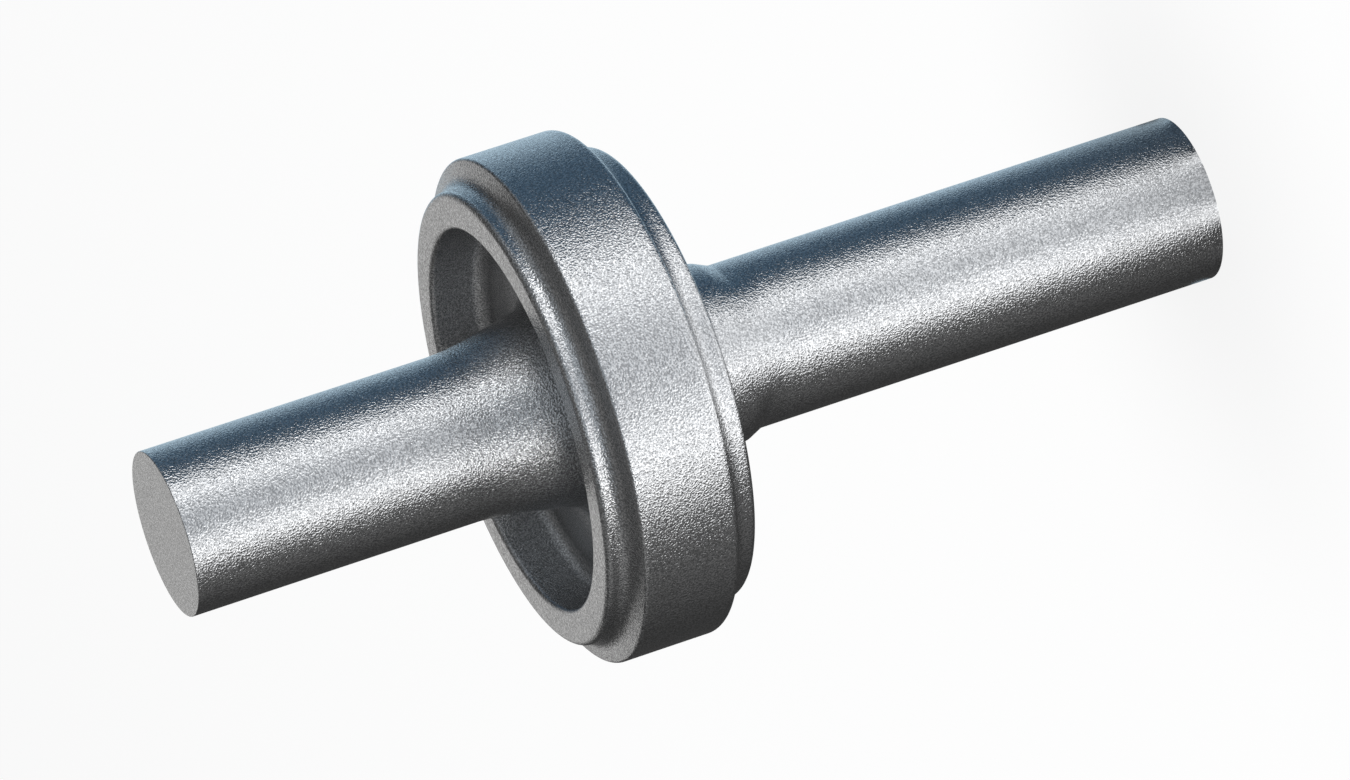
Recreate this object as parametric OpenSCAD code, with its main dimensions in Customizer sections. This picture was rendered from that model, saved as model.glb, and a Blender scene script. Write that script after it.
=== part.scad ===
// Forged transmission shaft: a plain bar with a stepped rim on a thin web, all one piece of steel.
// The bar stands on its lower end, with its axis along Z. The rim nearer the upper end has a deep
// ring-shaped recess on both sides, and a hub that flares from the bar into the web. Below the web the
// hub is longer, and its cone runs out of the recess as a tapered tail.
// The section is drawn about the middle of the rim, with the radius along X and the height along Y.

/* [Bar] */
// Diameter of the bar
bar_d = 50; // [44:0.5:52]
// Length of the whole shaft
bar_length = 327.5; // [300:0.5:420]

/* [Rim] */
// Height of the middle of the rim above the lower end of the bar
rim_z = 195.6; // [120:0.2:230]
// Outside diameter of the land, the widest part of the rim
rim_d = 154; // [148:0.5:190]
// Outside diameter of the two lips beside the land
lip_d = 138.4; // [130:0.2:146]
// Width of the rim over both lips
rim_w = 47.2; // [40:0.2:60]
// Distance of the upper flank of the land from the middle of the rim
upper_flank = 16.5; // [12:0.1:17]
// Distance of the lower flank of the land from the middle of the rim
lower_flank = 15; // [10:0.1:17]

/* [Recess] */
// Diameter of the recess at its mouth, before the mouth is rounded
recess_d = 116; // [100:0.5:122]
// Draft of the recess wall, in degrees
recess_draft = 2; // [0.5:0.5:7]
// Thickness of the web between the two recesses
web_t = 13.6; // [8:0.2:18]

/* [Hub] */
// Diameter of the upper hub cone where it meets the face of the web
hub_d = 62.2; // [58:0.2:72]
// Draft of both hub cones, in degrees
hub_draft = 12; // [9:0.5:18]
// Distance from the middle of the rim at which the lower hub cone would run into the bar
tail_reach = 52.8; // [46:0.2:60]

/* [Rounding] */
// Radius of the long blend from the upper hub cone into the bar
flare_r = 60; // [20:1:80]
// Radius of the blend from the lower hub cone into the bar
tail_r = 30; // [10:1:60]
// Radius in the corner between the hub and the web
hub_fillet = 6.5; // [2:0.1:8]
// Radius in the corner between the web and the recess wall
web_fillet = 4.6; // [2:0.1:6]
// Radius on the edge of the recess mouth
mouth_round = 1.6; // [0.5:0.1:3]
// Radius on the outer edge of each lip
lip_round = 2.1; // [0.5:0.1:3]
// Radius in the corner between each lip and the land
lip_fillet = 3; // [1:0.1:3.2]
// Radius on the upper edge of the land
upper_round = 4.5; // [1:0.1:4.6]
// Radius on the lower edge of the land
lower_round = 2.3; // [1:0.1:4.6]

/* [Hidden] */
$fn = 144;

bar_r = bar_d / 2;
rim_r = rim_d / 2;
lip_r = lip_d / 2;
hub_r = hub_d / 2;
mouth_r = recess_d / 2;
half_w = rim_w / 2;
half_web = web_t / 2;

// Lower and upper ends of the bar, from the middle of the rim
bar_bottom = -rim_z;
bar_top = bar_length - rim_z;
// Radius of the recess wall at the face of the web
floor_r = mouth_r - (half_w - half_web) * tan(recess_draft);
// Height at which the upper hub cone would run into the bar
flare_top = half_web + (hub_r - bar_r) / tan(hub_draft);
// Radius of the lower hub cone at the face of the web, where it leaves room for the fillets beside it
tail_base_r = min(bar_r + (tail_reach - half_web) * tan(hub_draft), floor_r - hub_fillet - web_fillet);
// Height at which the lower hub cone would run into the bar
tail_foot = -half_web - (tail_base_r - bar_r) / tan(hub_draft);

// The rounds of the land share the step down to the lip with the fillet below them
step = rim_r - lip_r;
lip_fillet_used = min(lip_fillet, 0.4 * step);
upper_round_used = min(upper_round, 0.58 * step);
lower_round_used = min(lower_round, 0.58 * step);

// A corner is its point, the angles at which the outline's edges before and after leave it, and its radius
TAIL = [[bar_r, tail_foot], -90, 90 - hub_draft, tail_r];
LOWER_HUB = [[tail_base_r, -half_web], -90 - hub_draft, 0, hub_fillet];
LOWER_WEB = [[floor_r, -half_web], -180, -90 + recess_draft, web_fillet];
LOWER_LIP = [[lip_r, -lower_flank], -90, 0, lip_fillet_used];
UPPER_LIP = [[lip_r, upper_flank], 0, 90, lip_fillet_used];
UPPER_WEB = [[floor_r, half_web], 90 - recess_draft, 180, web_fillet];
UPPER_HUB = [[hub_r, half_web], 0, 90 + hub_draft, hub_fillet];
FLARE = [[bar_r, flare_top], -90 + hub_draft, 90, flare_r];
INNER_CORNERS = [TAIL, LOWER_HUB, LOWER_WEB, LOWER_LIP, UPPER_LIP, UPPER_WEB, UPPER_HUB, FLARE];

OUTER_CORNERS = [
    [[mouth_r, -half_w], 0, 90 + recess_draft, mouth_round],
    [[lip_r, -half_w], 90, 180, lip_round],
    [[rim_r, -lower_flank], 90, 180, lower_round_used],
    [[rim_r, upper_flank], 180, 270, upper_round_used],
    [[lip_r, half_w], 180, 270, lip_round],
    [[mouth_r, half_w], -90 - recess_draft, 0, mouth_round]
];

// A rounding circle is a hair larger than its radius, so that it crosses the edges and leaves no sliver
hair = 0.0005;
// How far the cut of a corner laps past the edges and past the ends of its arc
lap = 0.4;

function direction(angle) = [cos(angle), sin(angle)];
function half_angle(corner) = abs(corner[2] - corner[1]) / 2;
function middle(corner) = direction((corner[1] + corner[2]) / 2);
function run(corner) = corner[3] / tan(half_angle(corner));
function before(corner) = corner[0] + run(corner) * direction(corner[1]);
function after(corner) = corner[0] + run(corner) * direction(corner[2]);
function centre(corner) = corner[0] + corner[3] / sin(half_angle(corner)) * middle(corner);

// Points behind a corner, past both of its edges
function behind(corner) = [
    before(corner) + lap * direction(corner[1] - 90),
    corner[0] - lap / sin(half_angle(corner)) * middle(corner),
    after(corner) + lap * direction(corner[2] + 90)
];

// The outline takes in an inner corner as far as the centre of its arc, and the circle is then cut out
function filled(corner) = [before(corner), centre(corner), after(corner)];

OUTLINE = concat(
    [[0, bar_bottom], [bar_r, bar_bottom]],
    filled(TAIL),
    filled(LOWER_HUB),
    filled(LOWER_WEB),
    [[mouth_r, -half_w], [lip_r, -half_w]],
    filled(LOWER_LIP),
    [[rim_r, -lower_flank], [rim_r, upper_flank]],
    filled(UPPER_LIP),
    [[lip_r, half_w], [mouth_r, half_w]],
    filled(UPPER_WEB),
    filled(UPPER_HUB),
    filled(FLARE),
    [[bar_r, bar_top], [0, bar_top]]
);

module rounding_circle(corner) {
    translate(centre(corner)) circle(r = corner[3] + hair);
}

// The part of an inner corner's circle that lies beside its arc
module corner_room(corner) {
    past_before = lap * direction(corner[1]);
    past_after = lap * direction(corner[2]);
    past_centre = centre(corner) + lap * middle(corner);
    points = behind(corner);
    intersection() {
        rounding_circle(corner);
        polygon([
            points[0] + past_before,
            points[1],
            points[2] + past_after,
            past_centre + past_after,
            past_centre + past_before
        ]);
    }
}

// What lies between an outer corner and the arc that rounds it
module corner_waste(corner) {
    difference() {
        polygon(concat([centre(corner), before(corner)], behind(corner), [after(corner)]));
        rounding_circle(corner);
    }
}

module section() {
    difference() {
        polygon(OUTLINE);
        for (corner = INNER_CORNERS) corner_room(corner);
        for (corner = OUTER_CORNERS) corner_waste(corner);
    }
}

module transmission_shaft() {
    color([0.55, 0.56, 0.58])
        translate([0, 0, rim_z])
            rotate_extrude()
                section();
}

transmission_shaft();
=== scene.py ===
# The looks of a forged transmission shaft: a fine lathe mesh, shot-blasted steel, the studio and the camera.
import math

import bpy
from mathutils import Euler, Matrix, Vector, noise


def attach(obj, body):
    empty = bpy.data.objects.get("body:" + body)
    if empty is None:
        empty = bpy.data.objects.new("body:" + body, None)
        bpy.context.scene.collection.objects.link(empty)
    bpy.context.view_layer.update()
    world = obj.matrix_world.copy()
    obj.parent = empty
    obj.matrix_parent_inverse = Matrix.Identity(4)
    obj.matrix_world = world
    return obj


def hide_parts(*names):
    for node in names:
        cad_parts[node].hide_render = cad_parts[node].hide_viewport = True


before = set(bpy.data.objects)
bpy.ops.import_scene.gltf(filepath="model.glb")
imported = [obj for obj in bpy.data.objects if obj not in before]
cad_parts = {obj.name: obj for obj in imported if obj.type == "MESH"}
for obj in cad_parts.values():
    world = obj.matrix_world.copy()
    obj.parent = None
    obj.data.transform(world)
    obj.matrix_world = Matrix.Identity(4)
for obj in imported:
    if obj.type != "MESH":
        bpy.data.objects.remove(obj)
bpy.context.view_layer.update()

MM = 0.001

# Sizes of the shaft, in millimetres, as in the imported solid
BAR_R = 25.0
BAR_LENGTH = 327.5
RIM_Z = 195.6
RIM_R = 77.0
LIP_R = 69.2
HALF_RIM = 23.6
LOWER_FLANK = 15.0
MOUTH_R = 58.0
RECESS_DRAFT = 2.0
HALF_WEB = 6.8
HUB_R = 31.1
HUB_DRAFT = 12.0
TAIL_REACH = 52.8

FLARE_ROUND = 60.0
HUB_FILLET = 6.5
WEB_FILLET = 4.6
MOUTH_ROUND = 1.6
LIP_ROUND = 2.1
LOWER_ROUND = 2.3
TAIL_ROUND = 30.0

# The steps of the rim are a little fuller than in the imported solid: the height of the land's upper edge over
# the middle of the rim, its round, the height at which the sloping flank would meet the lip, and the fillet
# at the foot of both lips
UPPER_EDGE = 15.0
UPPER_ROUND = 1.2
UPPER_FOOT = 17.4
LIP_FILLET = 4.9
# The sawn ends have a slight break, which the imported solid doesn't have
END_BREAK = 0.25

# The tail of the hub is relieved on its two sides: the height of the foot of the relief, its slope, the angles
# from the sides at which it is whole and at which it has run out, the height above which there is none, and
# how far past the hub's radius the outline is cut finely for it
RELIEF_FOOT = 148.1
RELIEF_SLOPE = 24.0
RELIEF_WHOLE = 30.0
RELIEF_OUT = 58.0
RELIEF_TOP = 156.0
RELIEF_MARGIN = 4.0

# How finely the mesh is cut: segments round the axis, the longest step along the outline, the longest step
# at the relief, and the angle of one step of an arc
SEGMENTS = 224
LONGEST_STEP = 3.0
RELIEF_STEP = 0.5
ARC_STEP = 9.0

# The forged skin is a little uneven: height in millimetres, and how many lumps there are to a metre
SKIN_HEIGHT = 0.012
SKIN_LUMPS = 55.0

# Camera, in metres and degrees: it looks along +Y, tilted down and rolled, so that the shaft's axis lies across
# the picture
IMAGE_WIDTH_PX = 1350
FOCAL_PX = 9692
SENSOR_MM = 36.0
CAMERA_AIM = Vector((-0.00659, 0.0, 0.16879))
CAMERA_DISTANCE = 2.83031
CAMERA_TILT = 16.556
CAMERA_ROLL = -108.276
CAMERA_CLIP = 50.0


def outline_corners():
    """Corners of half the section, from the lower end to the upper end: radius, height, rounding."""
    recess_depth = HALF_RIM - HALF_WEB
    floor_r = MOUTH_R - recess_depth * math.tan(math.radians(RECESS_DRAFT))
    slope = math.tan(math.radians(HUB_DRAFT))
    tail_r = BAR_R + (TAIL_REACH - HALF_WEB) * slope
    flare_top = RIM_Z + HALF_WEB + (HUB_R - BAR_R) / slope
    return [
        (0.0, 0.0, 0.0),
        (BAR_R, 0.0, END_BREAK),
        (BAR_R, RIM_Z - TAIL_REACH, TAIL_ROUND),
        (tail_r, RIM_Z - HALF_WEB, HUB_FILLET),
        (floor_r, RIM_Z - HALF_WEB, WEB_FILLET),
        (MOUTH_R, RIM_Z - HALF_RIM, MOUTH_ROUND),
        (LIP_R, RIM_Z - HALF_RIM, LIP_ROUND),
        (LIP_R, RIM_Z - LOWER_FLANK, LIP_FILLET),
        (RIM_R, RIM_Z - LOWER_FLANK, LOWER_ROUND),
        (RIM_R, RIM_Z + UPPER_EDGE, UPPER_ROUND),
        (LIP_R, RIM_Z + UPPER_FOOT, LIP_FILLET),
        (LIP_R, RIM_Z + HALF_RIM, LIP_ROUND),
        (MOUTH_R, RIM_Z + HALF_RIM, MOUTH_ROUND),
        (floor_r, RIM_Z + HALF_WEB, WEB_FILLET),
        (HUB_R, RIM_Z + HALF_WEB, HUB_FILLET),
        (BAR_R, flare_top, FLARE_ROUND),
        (BAR_R, BAR_LENGTH, END_BREAK),
        (0.0, BAR_LENGTH, 0.0),
    ]


def rounded_corner(before, corner, after, radius):
    """Points of the arc that rounds a corner, from its first tangent point to its last."""
    back = (before - corner).normalized()
    ahead = (after - corner).normalized()
    half = back.angle(ahead) / 2
    centre = corner + (back + ahead).normalized() * (radius / math.sin(half))
    start = corner + back * (radius / math.tan(half)) - centre
    turn = start.angle_signed(corner + ahead * (radius / math.tan(half)) - centre)
    count = max(2, math.ceil(abs(math.degrees(turn)) / ARC_STEP))
    return [centre + Matrix.Rotation(-turn * i / count, 2) @ start for i in range(count + 1)]


def outline_points():
    """The rounded outline as points no further apart than the longest step."""
    corners = [(Vector((r, z)), rounding) for r, z, rounding in outline_corners()]
    path = [corners[0][0]]
    for (before, _), (corner, rounding), (after, _) in zip(corners, corners[1:], corners[2:]):
        if rounding > 0:
            path += rounded_corner(before, corner, after, rounding)
        else:
            path.append(corner)
    path.append(corners[-1][0])
    points = [path[0]]
    for point in path[1:]:
        last = points[-1]
        near_relief = point.y < RIM_Z and last.y < RELIEF_TOP and point.y > RIM_Z - TAIL_REACH
        step = RELIEF_STEP if near_relief and point.x < HUB_R + RELIEF_MARGIN else LONGEST_STEP
        count = math.ceil((point - last).length / step)
        points += [last.lerp(point, (i + 1) / count) for i in range(count)]
    return points


def smooth(value, low, high):
    """Runs smoothly from 0 at the low value to 1 at the high one."""
    share = min(1.0, max(0.0, (value - low) / (high - low)))
    return share * share * (3 - 2 * share)


def relieved(radius, height, angle):
    """The radius after the reliefs on the two sides of the hub's tail."""
    if height > RELIEF_TOP or radius > HUB_R:
        return radius
    from_side = math.degrees(math.acos(min(1.0, abs(math.cos(angle)))))
    floor = BAR_R + max(0.0, height - RELIEF_FOOT) * math.tan(math.radians(RELIEF_SLOPE))
    depth = max(0.0, radius - floor)
    return radius - depth * (1 - smooth(from_side, RELIEF_WHOLE, RELIEF_OUT))


def skin_place(radius, height, angle):
    """A point of the mesh in metres, with the slight unevenness of the forged skin along the radius."""
    radius = relieved(radius, height, angle)
    place = Vector((radius * math.cos(angle), radius * math.sin(angle), height)) * MM
    swell = SKIN_HEIGHT * noise.noise(place * SKIN_LUMPS) * min(1.0, radius / BAR_R)
    grown = (radius + swell) / radius
    return Vector((place.x * grown, place.y * grown, place.z))


def lathe_mesh(name):
    """The shaft as one closed mesh of rings round the axis."""
    points = outline_points()
    rings = points[1:-1]
    places = [skin_place(p.x, p.y, math.tau * s / SEGMENTS) for p in rings for s in range(SEGMENTS)]
    lower_middle = len(places)
    places += [Vector((0, 0, points[0].y * MM)), Vector((0, 0, points[-1].y * MM))]
    faces = []
    for ring in range(len(rings) - 1):
        for s in range(SEGMENTS):
            first = ring * SEGMENTS + s
            second = ring * SEGMENTS + (s + 1) % SEGMENTS
            faces.append((first, second, second + SEGMENTS, first + SEGMENTS))
    last_ring = (len(rings) - 1) * SEGMENTS
    for s in range(SEGMENTS):
        after = (s + 1) % SEGMENTS
        faces.append((after, s, lower_middle))
        faces.append((last_ring + s, last_ring + after, lower_middle + 1))
    mesh = bpy.data.meshes.new(name)
    mesh.from_pydata(places, [], faces)
    mesh.polygons.foreach_set("use_smooth", [True] * len(mesh.polygons))
    mesh.update()
    return mesh


class Nodes:
    """A node tree with short calls for adding and joining nodes."""

    def __init__(self, tree):
        self.tree = tree
        self.tree.nodes.clear()

    def add(self, kind, settings=None, **sockets):
        """A new node, with its properties, and its inputs as values or as other nodes' outputs."""
        made = self.tree.nodes.new(kind)
        for key, value in (settings or {}).items():
            setattr(made, key, value)
        for key, value in sockets.items():
            self.put(made, key.replace("_", " "), value)
        return made

    def put(self, made, key, value):
        """Sets one input by its name or number, or joins another node's output to it."""
        socket = made.inputs[key]
        if isinstance(value, bpy.types.NodeSocket):
            self.tree.links.new(value, socket)
        else:
            socket.default_value = value

    def math(self, operation, *values):
        """A Math node of the given kind, and its output."""
        made = self.add("ShaderNodeMath", {"operation": operation})
        for number, value in enumerate(values):
            self.put(made, number, value)
        return made.outputs[0]

    def spread(self, value, low, high):
        """Runs smoothly from 0 where a value is low to 1 where it is high."""
        soft = self.add("ShaderNodeMapRange", {"interpolation_type": "SMOOTHSTEP"})
        self.put(soft, "Value", value)
        self.put(soft, "From Min", low)
        self.put(soft, "From Max", high)
        return soft.outputs[0]

    def facing(self, ray, direction, inner, outer):
        """How far a ray faces a direction: 1 within the inner angle, 0 beyond the outer one, in degrees."""
        product = self.add("ShaderNodeVectorMath", {"operation": "DOT_PRODUCT"})
        self.put(product, 0, ray)
        self.put(product, 1, direction)
        low = math.cos(math.radians(outer))
        high = math.cos(math.radians(inner))
        return self.spread(product.outputs["Value"], low, high)


# Grain: how many lumps there are to a metre, its detail, the slope of the lumps' sides, how far the height is
# sampled in pixels, and the heights between which the tint runs from the dark steel to the pale
GRAIN_LUMPS = 1750.0
GRAIN_DETAIL = 1.0
GRAIN_SLOPE = 0.39
GRAIN_FILTER = 0.03
TINT_LOW = 0.3
TINT_HIGH = 0.7
STEEL_DARK = (0.34, 0.343, 0.347, 1.0)
STEEL_PALE = (0.66, 0.663, 0.668, 1.0)
STEEL_ROUGHNESS = 0.23


def forged_steel():
    """Shot-blasted forged steel: bright metal with a fine even grain."""
    material = bpy.data.materials.new("forged_steel")
    material.use_nodes = True
    n = Nodes(material.node_tree)
    place = n.add("ShaderNodeTexCoord").outputs["Object"]
    grain = n.add("ShaderNodeTexNoise", Vector=place, Scale=GRAIN_LUMPS, Detail=GRAIN_DETAIL).outputs[0]
    tint = n.add("ShaderNodeMix", {"data_type": "RGBA"})
    n.put(tint, "Factor", n.spread(grain, TINT_LOW, TINT_HIGH))
    n.put(tint, 6, STEEL_DARK)
    n.put(tint, 7, STEEL_PALE)
    lumps = n.add("ShaderNodeBump", Strength=1.0, Distance=GRAIN_SLOPE / GRAIN_LUMPS)
    n.put(lumps, "Filter Width", GRAIN_FILTER)
    n.put(lumps, "Height", grain)
    shader = n.add("ShaderNodeBsdfPrincipled", Metallic=1.0, Roughness=STEEL_ROUGHNESS)
    n.put(shader, "Base Color", tint.outputs[2])
    n.put(shader, "Normal", lumps.outputs["Normal"])
    output = n.add("ShaderNodeOutputMaterial")
    n.put(output, "Surface", shader.outputs[0])
    return material


def toward(azimuth, elevation):
    """Unit vector: azimuth from the camera's side (-Y) to +X, elevation above the floor, in degrees."""
    across = math.radians(azimuth)
    up = math.radians(elevation)
    return Vector((math.sin(across) * math.cos(up), -math.cos(across) * math.cos(up), math.sin(up)))


def add_shaft():
    piece = bpy.data.objects.new("forged_shaft", lathe_mesh("forged_shaft"))
    bpy.context.scene.collection.objects.link(piece)
    piece.data.materials.append(forged_steel())
    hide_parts("transmission_shaft")
    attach(piece, "root")


# The studio is light and dark in turn round the shaft. Each band has its azimuth, its inner and outer
# half-angle, and its colour. One set lies far out on the floor, one near the shaft, and one on the wall.
# The floor's two sets are painted reflections: light and dark bands painted into the floor's glow, seen only by
# the metal. The wall's set is light from the world.
# The sides belong to both of the floor's sets. The room's colour lies under all the bands
ROOM = (0.062, 0.062, 0.062, 1.0)
PAINTED_FLOOR_SIDES = (
    (-85.0, 5.0, 35.0, (0.09, 0.09, 0.09, 1.0)),
    (105.0, 10.0, 60.0, (0.02, 0.08, 0.15, 1.0)),
    (156.0, 13.0, 26.0, (0.55, 0.73, 0.855, 1.0)),
)
FAR_PAINTED_BANDS = PAINTED_FLOOR_SIDES + (
    (0.0, 40.0, 61.0, (0.66, 0.69, 0.73, 1.0)),
    (-39.0, 4.0, 15.0, (1.60, 1.59, 1.57, 1.0)),
    (52.0, 3.0, 12.0, (2.50, 2.51, 2.52, 1.0)),
)
NEAR_PAINTED_BANDS = PAINTED_FLOOR_SIDES + (
    (-1.0, 24.0, 60.0, (1.18, 1.21, 1.25, 1.0)),
    (-32.0, 6.0, 18.0, (1.25, 1.24, 1.23, 1.0)),
    (47.0, 4.0, 13.0, (1.50, 1.51, 1.52, 1.0)),
)
WALL_BANDS = (
    (-41.0, 9.0, 23.0, (3.30, 3.28, 3.25, 1.0)),
    (46.0, 8.0, 21.0, (2.90, 2.92, 2.94, 1.0)),
    (130.0, 20.0, 50.0, (0.02, 0.07, 0.13, 1.0)),
)
# Distances from the axis: where the near set is dimmed to a share, as painted shade at the shaft's foot, where
# it is whole, and where the far set is
FOOT = 0.03
# Painted shade: near the shaft's foot the floor's painted bands are dimmed to this share
FOOT_PAINTED_SHADE_SHARE = 0.6
NEAR = 0.20
FAR = 1.15
# Elevations at which the wall's set is still whole and at which it has run out
WALL_WHOLE = 6.0
WALL_OUT = 14.0
# Soft glows on the wall and the ceiling, given as azimuth, elevation, inner and outer half-angle, and colour
GLOWS = (
    (4.0, 8.0, 30.0, 62.0, (0.42, 0.46, 0.50, 1.0)),
    (180.0, 14.0, 8.0, 28.0, (0.65, 0.645, 0.635, 1.0)),
    (0.0, 90.0, 20.0, 55.0, (0.12, 0.12, 0.12, 1.0)),
    (-90.0, 24.0, 6.0, 30.0, (0.28, 0.28, 0.28, 1.0)),
    (90.0, 24.0, 6.0, 30.0, (0.26, 0.28, 0.30, 1.0)),
)
# The floor: half its side in metres, its colour, and the white that the camera sees beyond it
FLOOR_HALF = 12.0
FLOOR_COLOUR = (0.80, 0.80, 0.80, 1.0)
FLOOR_WHITE = 0.97
# Of what the camera sees of the floor, the share that shines by itself, and its strength
FLOOR_SHARE = 0.85
FLOOR_SHINE = 1.03
# The floor's painted bands are turned near the bar: cosines of the azimuth at which that has run out and is
# whole
TURN_OUT = -1.0
TURN_WHOLE = -0.4
# The lamp over the floor: its height and side in metres, and its power in watts
LAMP_HEIGHT = 2.6
LAMP_SIDE = 1.5
LAMP_POWER = 50.0


def add_up(n, colour, factor, more):
    """A colour with some of another one added to it."""
    added = n.add("ShaderNodeMix", {"data_type": "RGBA", "blend_type": "ADD"})
    n.put(added, "Factor", factor)
    n.put(added, 6, colour)
    n.put(added, 7, more)
    return added.outputs[2]


def bands(n, place, given):
    """The colour of a set of bands at the azimuth of a place."""
    flat = n.add("ShaderNodeVectorMath", {"operation": "MULTIPLY"})
    n.put(flat, 0, place)
    n.put(flat, 1, (1.0, 1.0, 0.0))
    level = n.add("ShaderNodeVectorMath", {"operation": "NORMALIZE"})
    n.put(level, 0, flat.outputs["Vector"])
    outward = level.outputs["Vector"]
    colour = (0.0, 0.0, 0.0, 1.0)
    for azimuth, inner, outer, band in given:
        share = n.facing(outward, toward(azimuth, 0.0), inner, outer)
        colour = add_up(n, colour, share, band)
    return colour


def add_world():
    world = bpy.data.worlds.new("studio")
    bpy.context.scene.world = world
    world.use_nodes = True
    n = Nodes(world.node_tree)
    ray = n.add("ShaderNodeTexCoord").outputs["Generated"]
    low = n.facing(ray, (0.0, 0.0, -1.0), 90.0 + WALL_WHOLE, 90.0 + WALL_OUT)
    colour = add_up(n, ROOM, low, bands(n, ray, WALL_BANDS))
    for azimuth, elevation, inner, outer, glow in GLOWS:
        share = n.facing(ray, toward(azimuth, elevation), inner, outer)
        colour = add_up(n, colour, share, glow)
    seen = n.add("ShaderNodeMix", {"data_type": "RGBA"})
    n.put(seen, "Factor", n.add("ShaderNodeLightPath").outputs["Is Camera Ray"])
    n.put(seen, 6, colour)
    n.put(seen, 7, (FLOOR_WHITE, FLOOR_WHITE, FLOOR_WHITE, 1.0))
    background = n.add("ShaderNodeBackground")
    n.put(background, "Color", seen.outputs[2])
    output = n.add("ShaderNodeOutputWorld")
    n.put(output, "Surface", background.outputs[0])


def straightened(n, place, distance):
    """A place on the floor, turned about the axis so that the bar mirrors straight bands down to its foot."""
    parts = n.add("ShaderNodeSeparateXYZ", Vector=place)
    angle = n.math("ARCTAN2", parts.outputs["X"], n.math("MULTIPLY", parts.outputs["Y"], -1.0))
    outside = n.math("MAXIMUM", distance, BAR_R * MM)
    across_bar = n.math("MULTIPLY_ADD", outside, 2.0, -BAR_R * MM)
    ahead = n.spread(n.math("COSINE", angle), TURN_OUT, TURN_WHOLE)
    more = n.math("DIVIDE", n.math("MULTIPLY", ahead, BAR_R * MM), across_bar)
    turned = n.math("MULTIPLY_ADD", angle, more, angle)
    made = n.add("ShaderNodeCombineXYZ", X=n.math("SINE", turned))
    n.put(made, "Y", n.math("MULTIPLY", n.math("COSINE", turned), -1.0))
    return made.outputs["Vector"]


def floor_material():
    """A pale floor: white to the camera, and to the metal a painted reflection of light and dark bands, dimmed
    by painted shade near the shaft's foot.
    """
    material = bpy.data.materials.new("pale_floor_painted_reflection")
    material.use_nodes = True
    n = Nodes(material.node_tree)
    place = n.add("ShaderNodeTexCoord").outputs["Object"]
    distance = n.add("ShaderNodeVectorMath", {"operation": "LENGTH"})
    n.put(distance, 0, place)
    # Painted reflection: the near and far sets of light and dark bands painted into the floor's glow for the
    # metal
    around = n.add("ShaderNodeMix", {"data_type": "RGBA"})
    n.put(around, "Factor", n.spread(distance.outputs["Value"], NEAR, FAR))
    straight = straightened(n, place, distance.outputs["Value"])
    n.put(around, 6, bands(n, straight, NEAR_PAINTED_BANDS))
    n.put(around, 7, bands(n, straight, FAR_PAINTED_BANDS))
    path = n.add("ShaderNodeLightPath")
    metal = n.math("MAXIMUM", path.outputs["Is Glossy Ray"], path.outputs["Is Transmission Ray"])
    shade = n.add("ShaderNodeMix", {"data_type": "RGBA"})
    n.put(shade, "Factor", metal)
    n.put(shade, 6, (FLOOR_SHINE, FLOOR_SHINE, FLOOR_SHINE, 1.0))
    # Painted shade: the floor's painted bands darkened near the shaft's foot
    away = n.spread(distance.outputs["Value"], FOOT, NEAR)
    bright = n.math("MULTIPLY_ADD", away, 1.0 - FOOT_PAINTED_SHADE_SHARE, FOOT_PAINTED_SHADE_SHARE)
    n.put(shade, 7, add_up(n, ROOM, bright, around.outputs[2]))
    light = n.add("ShaderNodeEmission", Strength=1.0)
    n.put(light, "Color", shade.outputs[2])
    paper = n.add("ShaderNodeBsdfDiffuse", Color=FLOOR_COLOUR)
    mixed = n.add("ShaderNodeMixShader")
    shining = n.math("MULTIPLY", path.outputs["Is Camera Ray"], FLOOR_SHARE)
    n.put(mixed, 0, n.math("MAXIMUM", metal, shining))
    n.put(mixed, 1, paper.outputs[0])
    n.put(mixed, 2, light.outputs[0])
    output = n.add("ShaderNodeOutputMaterial")
    n.put(output, "Surface", mixed.outputs[0])
    return material


def add_floor():
    mesh = bpy.data.meshes.new("floor")
    half = FLOOR_HALF
    corners = [(-half, -half, 0), (half, -half, 0), (half, half, 0), (-half, half, 0)]
    mesh.from_pydata(corners, [], [(0, 1, 2, 3)])
    mesh.materials.append(floor_material())
    floor = bpy.data.objects.new("floor", mesh)
    bpy.context.scene.collection.objects.link(floor)


def add_lamp():
    """A soft lamp over the floor, for the shaft's shadow; the metal doesn't mirror it."""
    light = bpy.data.lights.new("over_floor", "AREA")
    light.size = LAMP_SIDE
    light.energy = LAMP_POWER
    lamp = bpy.data.objects.new("over_floor", light)
    lamp.location = (0.0, 0.0, LAMP_HEIGHT)
    lamp.visible_glossy = False
    bpy.context.scene.collection.objects.link(lamp)


def add_camera():
    lens = bpy.data.cameras.new("camera")
    lens.sensor_width = SENSOR_MM
    lens.lens = SENSOR_MM * FOCAL_PX / IMAGE_WIDTH_PX
    lens.clip_end = CAMERA_CLIP
    camera = bpy.data.objects.new("camera", lens)
    tilt = Euler((math.radians(90 - CAMERA_TILT), 0, 0)).to_matrix()
    turned = tilt @ Matrix.Rotation(math.radians(CAMERA_ROLL), 3, "Z")
    camera.rotation_euler = turned.to_euler()
    camera.location = CAMERA_AIM + tilt @ Vector((0, 0, CAMERA_DISTANCE))
    bpy.context.scene.collection.objects.link(camera)
    bpy.context.scene.camera = camera


bpy.context.scene.view_settings.view_transform = "Standard"
add_camera()
add_floor()
add_world()
add_lamp()
add_shaft()
